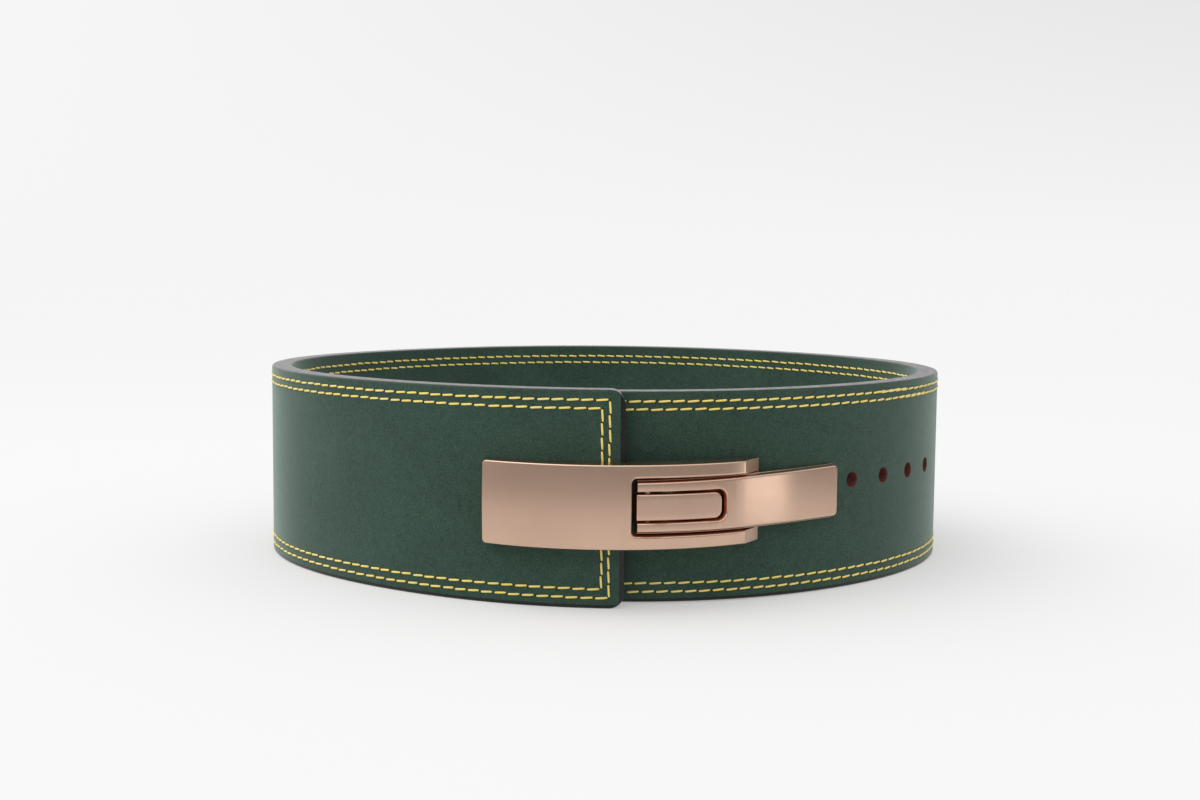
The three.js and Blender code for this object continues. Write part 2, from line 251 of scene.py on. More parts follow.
def bend(piece, path, start):
    # the piece is laid out flat along X, with 0 at the path's own zero
    pickUp(piece)
    piece.data.transform(Matrix.Translation((start, 0, 0)))
    modifier = piece.modifiers.new("bend", "CURVE")
    modifier.object = path
    modifier.deform_axis = "POS_X"
    applyModifiers(piece)


turnStep = fullTurn / loop["steps"]
loopTurns = [loop["from"] + i * turnStep for i in range(round(loop["span"] / turnStep))]
loopPoints = [loopPoint(turn) for turn in loopTurns]
loopFar = [0]
for pointA, pointB in zip(loopPoints, loopPoints[1:]):
    loopFar.append(loopFar[-1] + (pointB - pointA).length)


def between(value, known, wanted):
    i = next(i for i, item in enumerate(known) if item >= value)
    share = (value - known[i - 1]) / (known[i] - known[i - 1])
    return wanted[i - 1] + share * (wanted[i] - wanted[i - 1])


loopStart = between(0, loopTurns, loopFar)
loopLength = between(fullTurn, loopTurns, loopFar) - loopStart
loopPath = makePath("loopPath", loopPoints)


def placeOnLoop(piece, along, height):
    turn = between(along + loopStart, loopFar, loopTurns)
    ahead = (loopPoint(turn + turnStep) - loopPoint(turn - turnStep)).normalized()
    spin = Matrix.Rotation(math.atan2(ahead.y, ahead.x), 4, "Z")
    piece.data.transform(Matrix.Translation(loopPoint(turn) + Vector((0, 0, height))) @ spin)


buckle = {
    "radius": 111.3 * mm,  # of the plate's outer face, seen from above
    "middleX": 1.2 * mm,
    "proud": 12.17 * mm,  # of the strap's outer end
    "height": 48.5 * mm,
    "bend": math.radians(35.6),  # where the lever leaves the arc
    "lastTurn": math.radians(4.6),  # its slight turn past the arms
    "lastTurnAt": (17 * mm, 33 * mm),
    "reach": math.radians(45),
    "arcSteps": 600,
    "straightSteps": 150,  # of a millimetre each, past the arc
}
buckleMiddle = Vector((loop["middle"][0] + buckle["middleX"],
                       loopPoint(fullTurn).y - buckle["proud"] + buckle["radius"], 0))


def bucklePoint(angle, depth=0):
    radius = buckle["radius"] - depth
    return buckleMiddle + Vector((radius * math.sin(angle), -radius * math.cos(angle), 0))


def buckleAngle(x, depth=0):
    # angle of the place that is x to the right of the front centre line
    return math.asin((x * mm - buckle["middleX"]) / (buckle["radius"] - depth))


def buckleAlong(x, depth=0):
    return buckleAngle(x, depth) * buckle["radius"]


buckleSweep, arcSteps = buckle["bend"] + buckle["reach"], buckle["arcSteps"]
buckleAngles = [-buckle["reach"] + buckleSweep * i / arcSteps for i in range(arcSteps + 1)]
bucklePoints = [bucklePoint(angle) for angle in buckleAngles]
for i in range(buckle["straightSteps"]):
    turnFrom, turnTo = buckle["lastTurnAt"]
    share = min(1, max(0, (i * mm - turnFrom) / (turnTo - turnFrom)))
    angle = buckle["bend"] + buckle["lastTurn"] * share
    bucklePoints.append(bucklePoints[-1] + Vector((math.cos(angle), math.sin(angle), 0)) * mm)
bucklePath = makePath("bucklePath", bucklePoints)
buckleStart = buckle["reach"] * buckle["radius"]
print("paths ready: one turn is", round(loopLength / mm, 1), "mm")


# leather strap

strap = {
    "thickness": 10.7 * mm,
    "height": 98.8 * mm,
    "outerRise": 1.6 * mm,  # the upper edge climbs this much over one turn
    "innerTail": 107 * mm,
    "outerOverrun": 8.5 * mm,
    "lift": 0.7 * mm,  # the inner layer leaves the table by this much
    "liftLength": 200 * mm,
    "cornerRadius": 7 * mm,
    "edgeRadius": 1.1 * mm,
    "paintOverEnd": 2.4 * mm,  # how far the edge paint reaches over the face
    "paintOverFoot": 1.8 * mm,
    "step": 5 * mm,
    "holeRadius": 3.75 * mm,
    "holeFlare": 0.3 * mm,
    "holeHeight": 52.5 * mm,
    "holeBand": 12 * mm,  # half of the strip that the holes lie in
    "firstHole": 4 * mm,
    "holePitch": 25.4 * mm,
    "holes": range(-3, 9),
    "endHoles": (25 * mm, 50.4 * mm),  # in from the outer end
}
strapEnd = loopLength + strap["outerOverrun"]
sizeHoles = [strap["firstHole"] + place * strap["holePitch"] for place in strap["holes"]]
allHoles = sizeHoles + [strapEnd - inset for inset in strap["endHoles"]]


def trueHeight(along, height):
    # lower and upper edges of the real strap are not quite level
    share = min(1, max(0, (strap["liftLength"] - along) / strap["liftLength"]))
    lower = strap["lift"] * share * share * (3 - 2 * share)
    upper = strap["height"] + strap["outerRise"] * along / loopLength
    return lower + (upper - lower) * height / strap["height"]


def levelOut(piece):
    for vertex in piece.data.vertices:
        vertex.co.z = trueHeight(vertex.co.x, vertex.co.z)


def makeStrap():
    start, end, back, top = -strap["innerTail"], strapEnd, strap["thickness"], strap["height"]
    piece = addBlock("beltStrap", (start, 0, 0), (end, back, top))
    roundEdges(piece, allCorners, strap["cornerRadius"], 8)
    roundEdges(piece, lambda a, b: near(a.y, b.y), strap["edgeRadius"], 3)
    flare, radius = strap["holeFlare"], strap["holeRadius"]
    rings = [(-flare, radius + 2 * flare), (flare, radius),
             (back - flare, radius), (back + flare, radius + 2 * flare)]
    for along in allHoles:
        cutter = turnPiece("holeCutter", rings, 28)
        cutter.data.transform(Matrix.Translation((along, 0, strap["holeHeight"])))
        carve(piece, cutter)
    over, foot = strap["paintOverEnd"], strap["paintOverFoot"]
    cutThrough(piece, "X", evenPlaces(start, end, strap["step"]) + [start + over, end - over])
    middle, band = strap["holeHeight"], strap["holeBand"]
    cutThrough(piece, "Z", [foot, middle - band, middle + band])
    for face in piece.data.polygons:
        inside = min(face.center.x - start, end - face.center.x) > 2 * over
        atHole = abs(face.center.z - middle) < radius + flare
        inHole = inside and atHole and abs(face.normal.y) < 0.98
        painted = abs(face.normal.y) < 0.9 or face.center.z < foot
        painted = painted or min(face.center.x - start, end - face.center.x) < over
        face.material_index = 2 if inHole else 1 if painted else 0
    levelOut(piece)
    bend(piece, loopPath, loopStart)
    smooth(piece, 35)
    evenShading(piece)
    return piece


beltStrap = makeStrap()
print("strap bent and punched:", len(beltStrap.data.polygons), "faces")


# seams: two rows along each edge and round each end, on both faces

seams = {
    "pitch": 6.8 * mm,
    "endPitch": 6.2 * mm,
    "length": 6.1 * mm,
    "thread": 0.98 * mm,
    # a stitch from its end to its middle: share of half the length, share of half the thickness
    "bead": [(1, 0.45), (0.82, 0.85), (0.45, 1)],
    "sides": 8,
    "flatness": 0.72,
    "standOff": 0.14 * mm,
    "endDive": 0.5 * mm,
    "shoulderDive": 0.12 * mm,
    "dimple": [(0.3, 0.5), (-0.03, 0.48), (-0.05, 0.3)],  # needle hole: depth and radius in millimetres
    "slant": math.radians(-4),
    "topRows": (4.6 * mm, 8.4 * mm),  # below the upper edge
    "innerTopRows": (6.4 * mm, 10.5 * mm),
    "bottomRows": (5 * mm, 9 * mm),
    "endRows": (7.2 * mm, 10.7 * mm),
    # sewn over twice behind the belt, where each row starts and ends
    "backTacks": ((147 * mm, 174 * mm), (166 * mm, 200 * mm)),
    "tackRise": 0.35 * mm,
    "wander": 0.12 * mm,
}


def makeStitch():
    # one bead of thread along X on the face at y = 0, its ends diving into the leather
    half, thick = seams["length"] / 2, seams["thread"] / 2
    rings = [(-half * far, thick * wide) for far, wide in seams["bead"]]
    rings += [(half * far, thick * wide) for far, wide in reversed(seams["bead"])]
    piece = turnPiece("stitch", rings, seams["sides"])
    piece.data.transform(Matrix.Rotation(-math.pi / 2, 4, "Z"))
    editWhere(piece, "VERT", lambda place: True)
    bpy.ops.transform.resize(value=(1, seams["flatness"], 1), center_override=(0, 0, 0))
    bpy.ops.transform.translate(value=(0, -seams["standOff"], 0))
    stopEditing()
    moveWhere(piece, lambda place: abs(place.x) > half * 0.9, (0, seams["endDive"], 0))
    moveWhere(piece, lambda place: half * 0.7 < abs(place.x) < half * 0.9, (0, seams["shoulderDive"], 0))
    layThreadLengthways(piece)
    return piece


def layThreadLengthways(piece):
    # the map runs along the thread in x and round it in y, for the twist of its strands
    layer = piece.data.uv_layers.active or piece.data.uv_layers.new(name="threadMap")
    layer.name = "threadMap"
    for bead in piece.data.loops:
        place = piece.data.vertices[bead.vertex_index].co
        layer.data[bead.index].uv = (place.x / mm, math.atan2(place.y, place.z) / fullTurn)


def makeRow(master, start, end, height, pitch, phase, upright=False):
    # copies of the master from start to end, along X, or up Z from height
    count = max(1, round((end - start) / pitch))
    step = (end - start) / count
    row = master.copy()
    row.data = master.data.copy()
    bpy.context.collection.objects.link(row)
    row.name = "row"
    if upright:
        row.data.transform(Matrix.Rotation(-math.pi / 2, 4, "Y"))
        row.data.transform(Matrix.Translation((height, 0, start + phase * step)))
    else:
        row.data.transform(Matrix.Translation((start + phase * step, 0, height)))
    modifier = row.modifiers.new("repeat", "ARRAY")
    modifier.use_relative_offset = False
    modifier.use_constant_offset = True
    modifier.constant_offset_displace = (0, 0, step) if upright else (step, 0, 0)
    modifier.count = count
    applyModifiers(row)
    return row


def wander(row, size, amount, dice):
    # a hand's unevenness from one stitch to the next
    vertices = row.data.vertices
    for first in range(0, len(vertices), size):
        shift = Vector((dice.uniform(-1, 1) * 2, 0, dice.uniform(-1, 1))) * amount
        for i in range(first, first + size):
            vertices[i].co += shift


def seamRows(master, dice, beads, topRows):
    top, low = strap["height"], 0
    rows = []
    phase = 0.5 if beads else 1.0
    insets = zip(topRows, seams["bottomRows"], seams["endRows"], seams["backTacks"])
    for topInset, lowInset, endInset, tack in insets:
        first, last = -strap["innerTail"] + endInset, strapEnd - endInset
        crest, bottom = top - topInset, low + lowInset
        for height in (crest, bottom):
            rows.append(makeRow(master, first, last, height, seams["pitch"], phase))
        for along in (first, last):
            rows.append(makeRow(master, bottom, crest, along, seams["endPitch"], phase, True))
        if beads:
            rows.append(makeRow(master, *tack, crest + seams["tackRise"], seams["pitch"], 1.0))
    if beads:
        for row in rows:
            wander(row, len(master.data.vertices), seams["wander"], dice)
    return rows


def makeSeams(side):
    dice = random.Random(7 if side == "outer" else 11)
    stitch = makeStitch()
    stitch.data.transform(Matrix.Rotation(seams["slant"], 4, "Y"))
    topRows = seams["topRows"] if side == "outer" else seams["innerTopRows"]
    thread = joinPieces(side + "Stitching", seamRows(stitch, dice, True, topRows))
    bpy.data.objects.remove(stitch, do_unlink=True)
    # needle holes: small dimples between the stitches, coloured near-black as painted shade inside the holes
    rings = [(depth * mm, radius * mm) for depth, radius in seams["dimple"]]
    dimple = turnPiece("dimple", rings, seams["sides"])
    holes = joinPieces(side + "NeedleHoles", seamRows(dimple, dice, False, topRows))
    bpy.data.objects.remove(dimple, do_unlink=True)
    for piece in (thread, holes):
        if side == "inner":
            mirror = Matrix.Diagonal((1, -1, 1, 1))
            piece.data.transform(Matrix.Translation((0, strap["thickness"], 0)) @ mirror)
            clean(piece)
        levelOut(piece)
        bend(piece, loopPath, loopStart)
        pickUp(piece)
        bpy.ops.object.shade_smooth()
    return thread, holes


outerStitching, outerNeedleHoles = makeSeams("outer")
innerStitching, innerNeedleHoles = makeSeams("inner")
print("seams sewn:", len(outerStitching.data.polygons) * 2, "faces of thread")


# catch plate

plate = {
    "left": -57.1,
    "right": 64.4,
    "height": 38.4 * mm,
    "depth": 13.1 * mm,
    "skin": 3.4 * mm,
    "wall": 2.6 * mm,
    "cornerRadius": 2 * mm,
    "armHeight": 6.05 * mm,
    "armRake": 5.6 * mm,
    "armSweep": 6 * mm,  # how far the arms' back corners lie to the left of the raked ends
    "windowLeft": 11.4,
    "windowRadius": 2.4 * mm,
    "edgeRadius": 0.7 * mm,
    "crown": 0.35 * mm,
    "crownDepth": 1.5 * mm,
    "prongRadius": 3.65 * mm,
    "prongTip": (0.5 * mm, 1.5 * mm),  # in from the back of the strap: the tip, and where it is full width
    "prongRoot": 0.6 * mm,
    "slitMargin": 1 * mm,  # in from the outer edges, where no wall counts as a slit
    "step": 3 * mm,
    "heightStep": 4.8 * mm,
}
middleHeight = buckle["height"]
strapRoom = {
    "gap": 0.5 * mm,
    "outerLength": 100 * mm,
    "innerReach": 150 * mm,
    "bottom": -20 * mm,
    "top": 130 * mm,
    "step": 6 * mm,
}


def flatSpot(place):
    # where a point of the plan lies on the flat layout: along the face and in from it
    away = place - buckleMiddle
    return math.atan2(away.x, -away.y) * buckle["radius"], buckle["radius"] - away.length


def makeStrapRoom():
    # what the buckle has to stay clear of: the outer end of the strap and the layer under it
    bars = []
    gap, back = strapRoom["gap"], 2.2 * strap["thickness"]
    outerPart = (strapEnd - strapRoom["outerLength"], strapEnd + gap)
    for start, end in (outerPart, (strap["outerOverrun"], strapRoom["innerReach"])):
        bar = addBlock("strapRoom", (start, -gap, strapRoom["bottom"]), (end, back, strapRoom["top"]))
        cutThrough(bar, "X", evenPlaces(start, end, strapRoom["step"]))
        bend(bar, loopPath, loopStart)
        bars.append(bar)
    carve(bars[0], bars[1], "UNION")
    return bars[0]


def crownFace(piece, height, amount, depth):
    # the face falls away a little towards its upper and lower edges
    for vertex in piece.data.vertices:
        if vertex.co.y < depth:
            share = (vertex.co.z - middleHeight) / (height / 2)
            vertex.co.y += amount * share * share


def makeCatchPlate():
    low, high = middleHeight - plate["height"] / 2, middleHeight + plate["height"] / 2
    left, right, deep = buckleAlong(plate["left"]), buckleAlong(plate["right"]), plate["depth"]
    piece = addBlock("catchPlate", (left, 0, low), (right, deep, high))
    roundEdges(piece, cornersAt(left), plate["cornerRadius"], 5)
    # window for the lever, open to the right
    windowLeft = buckleAlong(plate["windowLeft"])
    window = addBlock("window", (windowLeft, -deep, low + plate["armHeight"]),
                      (right + deep, 2 * deep, high - plate["armHeight"]))
    roundEdges(window, cornersAt(windowLeft), plate["windowRadius"], 5)
    carve(piece, window)
    # hollow behind the face
    pocket = addBlock("pocket", (left + plate["wall"], plate["skin"], low + plate["wall"]),
                      (windowLeft - plate["wall"], 2 * deep, high - plate["wall"]))
    carve(piece, pocket)
    roundEdges(piece, frontRim, plate["edgeRadius"], 3)
    # the arms' ends lean to the right, and the left side goes straight back
    armFront = bucklePoint(buckleAngle(plate["right"]))
    armAlong, armDepth = flatSpot(armFront + Vector((plate["armRake"], deep, 0)))
    cutThrough(piece, "Y", [armDepth])
    for depth, shift in ((armDepth, armAlong - right), (deep, armAlong - right - plate["armSweep"])):
        moveWhere(piece, lambda place: near(place.x, right) and near(place.y, depth), (shift, 0, 0))
    leftPart = left + plate["cornerRadius"] + 0.1 * mm
    for depth in (armDepth, deep):
        shift = buckleAlong(plate["left"], depth) - left
        moveWhere(piece, lambda place: place.x < leftPart and near(place.y, depth), (shift, 0, 0))
    # the slit walls take the painted slit reflection
    markWalls(piece, low + plate["slitMargin"], high - plate["slitMargin"])
    cutThrough(piece, "Z", evenPlaces(low, high, plate["heightStep"]))
    crownFace(piece, plate["height"], plate["crown"], plate["crownDepth"])
    cutThrough(piece, "X", evenPlaces(left, armAlong, plate["step"]))
    clean(piece)
    bend(piece, bucklePath, buckleStart)
    carve(piece, makeStrapRoom())
    radius, (tip, shoulder) = plate["prongRadius"], plate["prongTip"]
    for inset in strap["endHoles"]:
        along, depth = flatSpot(loopPoint(between(strapEnd - inset + loopStart, loopFar, loopTurns)))
        prong = turnPiece("prong", [(strap["thickness"] - tip, radius * 0.8),
                                    (strap["thickness"] - shoulder, radius),
                                    (plate["skin"] - depth - plate["prongRoot"], radius)], 24)
        placeOnLoop(prong, strapEnd - inset, strap["holeHeight"])
        carve(piece, prong, "UNION")
    smooth(piece, 30)
    evenShading(piece)
    return piece


catchPlate = makeCatchPlate()
print("catch plate cast:", len(catchPlate.data.polygons), "faces")


# lever

lever = {
    "left": 13.9,
    "height": 23.8 * mm,
    "flare": 2.2 * mm,
    "rise": 0.5 * mm,
    "straight": 58.6 * mm,
    "skin": 2.4 * mm,
    "flange": 2 * mm,
    "flangeStart": 67 * mm,
    "cornerRadius": 3 * mm,
    "forkEnd": 54.9,
    "forkHeight": 14.2 * mm,
    "forkRadius": 4.2 * mm,
    # share of its length, depth of its sides
    "sides": [(0, 8.2), (0.3, 8.2), (0.42, 12.1), (0.52, 12.1), (0.62, 7), (1, 4.4)],
    # steps of the raised face in from the rim: width, rise
    "rim": 0.12 * mm,
    "face": [(0.3, 1.15), (0.3, 0.85), (0.25, 0.35), (0.25, 0.17), (0.3, 0.09), (0.5, 0.04)],
    "slotEdge": 0.8 * mm,
    "slitMargin": 0.2 * mm,
    "spare": 3 * mm,  # cut off again, so that the raised face runs out to the left end
    "webOverlap": 2 * mm,
    "step": 3 * mm,
}


def makeLever():
    bendAlong = buckle["bend"] * buckle["radius"]
    left, right = buckleAlong(lever["left"]), bendAlong + lever["straight"]
    low, high = middleHeight - lever["height"] / 2, middleHeight + lever["height"] / 2
    deepest = max(depth for share, depth in lever["sides"]) * mm
    risen = sum(rise for width, rise in lever["face"]) * mm
    spare = lever["spare"]
    piece = addBlock("leverHandle", (left - spare, risen, low), (right, deepest, high))
    for edge, side in ((low, -1), (high, 1)):
        moveWhere(piece, lambda place: near(place.x, right) and near(place.z, edge),
                  (0, 0, lever["rise"] + side * lever["flare"] / 2))
    roundEdges(piece, cornersAt(right), lever["cornerRadius"], 5)
    # the sides lean in from the rim to the soft-edged face
    editWhere(piece, "FACE", lambda middle, normal: normal.y < -0.9)
    bpy.ops.mesh.inset(thickness=lever["rim"], depth=0)
    for width, rise in lever["face"]:
        bpy.ops.mesh.inset(thickness=width * mm, depth=rise * mm)
    stopEditing()
    # back edge of the sides
    cutThrough(piece, "X", [left + share * (right - left) for share, depth in lever["sides"][1:-1]])
    for share, depth in lever["sides"]:
        station = left + share * (right - left)
        slack = {0: spare, 1: lever["cornerRadius"]}.get(share, 0) + 0.1 * mm
        moveWhere(piece, lambda place: near(place.x, station, slack) and near(place.y, deepest),
                  (0, depth * mm - deepest, 0))
    # fork for the tongue, and the hollow behind the skin
    forkLow, forkHigh = middleHeight - lever["forkHeight"] / 2, middleHeight + lever["forkHeight"] / 2
    forkEnd = buckleAlong(lever["forkEnd"])
    carve(piece, addBlock("spareEnd", (left - 2 * deepest, -deepest, 0), (left, 2 * deepest, 2 * high)))
    fork = addBlock("fork", (left - deepest, -deepest, forkLow), (forkEnd, 2 * deepest, forkHigh))
    roundEdges(fork, cornersAt(forkEnd), lever["forkRadius"], 6)
    carve(piece, fork)
    web = addBlock("web", (forkEnd - deepest, lever["skin"], forkLow),
                   (lever["flangeStart"] + lever["webOverlap"], 2 * deepest, forkHigh))
    carve(piece, web)
    inner = addBlock("inner", (lever["flangeStart"], lever["skin"], low + lever["flange"]),
                     (right - lever["flange"], 2 * deepest, high - lever["flange"]))
    for edge, side in ((low + lever["flange"], -1), (high - lever["flange"], 1)):
        moveWhere(inner, lambda place: place.x > right - 3 * mm and near(place.z, edge),
                  (0, 0, lever["rise"] + side * lever["flare"] / 2))
    carve(piece, inner)
    slotEnd, slotHalf = forkEnd + 0.1 * mm, lever["forkHeight"] / 2 + 0.02 * mm
    roundEdges(piece, lambda a, b: frontRim(a, b) and max(a.x, b.x) < slotEnd
               and max(abs(a.z - middleHeight), abs(b.z - middleHeight)) < slotHalf,
               lever["slotEdge"], 3)
    # the slit walls take the painted slit reflection
    markWalls(piece, forkLow - lever["slitMargin"], forkHigh + lever["slitMargin"])
    cutThrough(piece, "X", evenPlaces(left, right, lever["step"]))
    clean(piece)
    bend(piece, bucklePath, buckleStart)
    carve(piece, makeStrapRoom())
    smooth(piece, 30)
    evenShading(piece)
    return piece


leverPiece = makeLever()
print("lever cast:", len(leverPiece.data.polygons), "faces")


# base: tongue in the fork, riser, and the foot on the strap

base = {
    "left": 13.4,
    "right": 52.8,
    "height": 12.1 * mm,
    "skin": 4.5 * mm,
    "cornerRadius": 3.8 * mm,
    "edgeRadius": 1 * mm,
    "knuckleEnd": 23,
    "knuckleDepth": 8.4 * mm,
    "riser": (43.5, 49.5),
    "riserDepth": 14.8 * mm,
    "foot": (45 * mm, 112.5 * mm),
    "footWideStart": 71 * mm,
    "footHeight": 17.6 * mm,
    "footThickness": 2 * mm,
    "footGap": 0.4 * mm,
    "footRadius": 2 * mm,
    "footStep": 4 * mm,
    "step": 2.5 * mm,
    "heightStep": 3 * mm,
}


def makeLeverBase():
    low, high = middleHeight - base["height"] / 2, middleHeight + base["height"] / 2
    left, right, skin = buckleAlong(base["left"]), buckleAlong(base["right"]), base["skin"]
    piece = addBlock("leverBase", (left, 0, low), (right, skin, high))
    roundEdges(piece, cornersAt(right), base["cornerRadius"], 6)
    roundEdges(piece, frontRim, base["edgeRadius"], 4)
    knuckleEnd = buckleAlong(base["knuckleEnd"])
    riserLeft, riserRight = (buckleAlong(x) for x in base["riser"])
    cutThrough(piece, "X", [knuckleEnd, riserLeft, riserRight])
    editWhere(piece, "FACE", lambda middle, normal: normal.y > 0.9 and middle.x < knuckleEnd)
    bpy.ops.mesh.extrude_region_move(TRANSFORM_OT_translate={"value": (0, base["knuckleDepth"] - skin, 0)})
    stopEditing()
    editWhere(piece, "FACE", lambda middle, normal: normal.y > 0.9 and riserLeft < middle.x < riserRight)
    bpy.ops.mesh.extrude_region_move(TRANSFORM_OT_translate={"value": (0, base["riserDepth"] - skin, 0)})
    stopEditing()
    cutThrough(piece, "X", evenPlaces(left, right, base["step"]))
    cutThrough(piece, "Z", evenPlaces(low, high, base["heightStep"]))
    bend(piece, bucklePath, buckleStart)
    start, end = base["foot"]
    top, under = -base["footGap"] - base["footThickness"], -base["footGap"]
    foot = addBlock("foot", (start, top, low), (end, under, high))
    wide = addBlock("wideFoot", (base["footWideStart"], top, middleHeight - base["footHeight"] / 2),
                    (end, under, middleHeight + base["footHeight"] / 2))
    roundEdges(wide, allCorners, base["footRadius"], 4)
    carve(foot, wide, "UNION")
    cutThrough(foot, "X", evenPlaces(start, end, base["footStep"]))
    bend(foot, loopPath, loopStart)
    carve(piece, foot, "UNION")
    smooth(piece, 30)
    evenShading(piece)
    return piece


leverBase = makeLeverBase()
print("lever base made:", len(leverBase.data.polygons), "faces")


# pins and screws

pins = {
    "hinge": {"x": 61.6, "depth": 8.8 * mm, "radius": 1.7 * mm, "length": 10.6 * mm, "inset": 0.3 * mm},
    "tongue": {"x": 18.3, "depth": 5 * mm, "radius": 1.5 * mm, "inset": 0.5 * mm},
    "endRadius": 0.35 * mm,
}


def makePin(name, spot, low, high, radius):
    softEnd, length = pins["endRadius"], high - low
    part = softEnd * 0.3
    rings = [(0, radius - softEnd), (part, radius - part), (softEnd, radius),
             (length - softEnd, radius), (length - part, radius - part), (length, radius - softEnd)]
    piece = turnPiece(name, rings, 28)
    upright = Matrix.Rotation(math.pi / 2, 4, "X")
    piece.data.transform(Matrix.Translation(spot + Vector((0, 0, low))) @ upright)
    smooth(piece, 40)
    return piece


def makePins():
    hinge, tongue = pins["hinge"], pins["tongue"]
    spot = bucklePoint(buckleAngle(hinge["x"], hinge["depth"]), hinge["depth"])
    top = middleHeight + plate["height"] / 2 - hinge["inset"]
    bottom = middleHeight - plate["height"] / 2 + hinge["inset"]
    upper = makePin("hingePinUpper", spot, top - hinge["length"], top, hinge["radius"])
    lower = makePin("hingePinLower", spot, bottom, bottom + hinge["length"], hinge["radius"])
    spot = bucklePoint(buckleAngle(tongue["x"], tongue["depth"]), tongue["depth"])
    half = lever["height"] / 2 - tongue["inset"]
    middle = makePin("tonguePin", spot, middleHeight - half, middleHeight + half, tongue["radius"])
    return upper, lower, middle


hingePinUpper, hingePinLower, tonguePin = makePins()

screws = {
    "places": (3, 4),  # of the row of size holes
    "headRadius": 7.5 * mm,
    "headThickness": 1.6 * mm,
    "seatGap": 0.3 * mm,
    "shankRadius": 3.65 * mm,
    "shankEnd": 1.6 * mm,
    "threadRadius": 2.5 * mm,
    "tipEdge": 0.3 * mm,
    "slotWidth": 1.5 * mm,
    "slotDepth": 0.8 * mm,
}


def makeScrew(name, along):
    seat = strap["thickness"] + screws["seatGap"]
    face, head = seat + screws["headThickness"], screws["headRadius"]
    tip, edge = -base["footGap"] - base["footThickness"], screws["tipEdge"]
    shank, shankEnd, thread = screws["shankRadius"], screws["shankEnd"], screws["threadRadius"]
    rings = [(face, head * 0.9), (face - 0.15 * mm, head * 0.96), (face - 0.6 * mm, head),
             (seat, head * 0.98), (seat, shank), (shankEnd, shank), (shankEnd, thread),
             (tip + edge, thread), (tip, thread - edge)]
    piece = turnPiece(name, rings, 40)
    slot = addBlock("slot", (-2 * head, face - screws["slotDepth"], -screws["slotWidth"] / 2),
                    (2 * head, face + head, screws["slotWidth"] / 2))
    carve(piece, slot)
    placeOnLoop(piece, along, strap["holeHeight"])
    smooth(piece, 35)
    return piece


baseScrewLeft, baseScrewRight = (
    makeScrew(name, strap["firstHole"] + place * strap["holePitch"])
    for name, place in zip(("baseScrewLeft", "baseScrewRight"), screws["places"])
)
print("pins and screws turned")


# shared effects for the materials

def newGroup(name, inputs, outputs):
    group = bpy.data.node_groups.new(name, "ShaderNodeTree")
    for label, kind, value in inputs:
        socket = group.interface.new_socket(name=label, in_out="INPUT", socket_type="NodeSocket" + kind)
        if value is not None:
            socket.default_value = value
    for label, kind in outputs:
        group.interface.new_socket(name=label, in_out="OUTPUT", socket_type="NodeSocket" + kind)
    return group, group.nodes.new("NodeGroupInput"), group.nodes.new("NodeGroupOutput")


def addNode(tree, kind, **settings):
    node = tree.nodes.new("ShaderNode" + kind)
    for key, value in settings.items():
        setattr(node, key, value)
    return node


def setSockets(node, **values):
    for key, value in values.items():
        node.inputs[key].default_value = value
    return node


def noise(tree, vector, scale, detail, roughness):
    node = addNode(tree, "TexNoise")
    setSockets(node, Scale=scale, Detail=detail, Roughness=roughness)
    tree.links.new(vector, node.inputs["Vector"])
    return node


def blend(tree, share, first, second):
    node = addNode(tree, "Mix", data_type="RGBA")
    for socket, value in ((node.inputs[0], share), (node.inputs[6], first), (node.inputs[7], second)):
        if isinstance(value, bpy.types.NodeSocket):
            tree.links.new(value, socket)
        else:
            socket.default_value = value
    return node.outputs[2]


def spread(tree, value, low, high, newLow=0, newHigh=1):
    node = addNode(tree, "MapRange")
    setSockets(node, **{"From Min": low, "From Max": high, "To Min": newLow, "To Max": newHigh})
    tree.links.new(value, node.inputs["Value"])
    return node.outputs["Result"]


def doMath(tree, operation, first, second):
    node = addNode(tree, "Math", operation=operation)
    for socket, value in zip(node.inputs, (first, second)):
        if isinstance(value, bpy.types.NodeSocket):
            tree.links.new(value, socket)
        else:
            socket.default_value = value
    return node.outputs[0]


def makeNapGroup():
    # brushed nap: fine fibres, soft clouds where the nap lies another way, and its height
    group, inside, out = newGroup("brushedNap", [
        ("Place", "Vector", None),
        ("Light", "Color", (0.1, 0.2, 0.15, 1)),
        ("Dark", "Color", (0.03, 0.07, 0.05, 1)),
        ("Fibre Scale", "Float", 1200),
        ("Cloud Scale", "Float", 22),
    ], [("Color", "Color"), ("Height", "Float")])
    fibre = addNode(group, "TexNoise")
    setSockets(fibre, Detail=4, Roughness=0.7)
    cloud = addNode(group, "TexNoise")
    setSockets(cloud, Detail=3, Roughness=0.55, Distortion=0.4)
    links = group.links
    for node, label in ((fibre, "Fibre Scale"), (cloud, "Cloud Scale")):
        links.new(inside.outputs["Place"], node.inputs["Vector"])
        links.new(inside.outputs[label], node.inputs["Scale"])
    mottle = noise(group, inside.outputs["Place"], 260, 3, 0.6)
    share = doMath(group, "ADD", spread(group, fibre.outputs["Fac"], 0.3, 0.7, 0, 0.72),
                  spread(group, cloud.outputs["Fac"], 0.35, 0.65, 0, 0.16))
    share = doMath(group, "ADD", share, spread(group, mottle.outputs["Fac"], 0.35, 0.65, 0, 0.14))
    links.new(blend(group, share, inside.outputs["Dark"], inside.outputs["Light"]), out.inputs["Color"])
    height = doMath(group, "ADD", fibre.outputs["Fac"], doMath(group, "MULTIPLY", mottle.outputs["Fac"], 0.3))
    links.new(height, out.inputs["Height"])
    return group


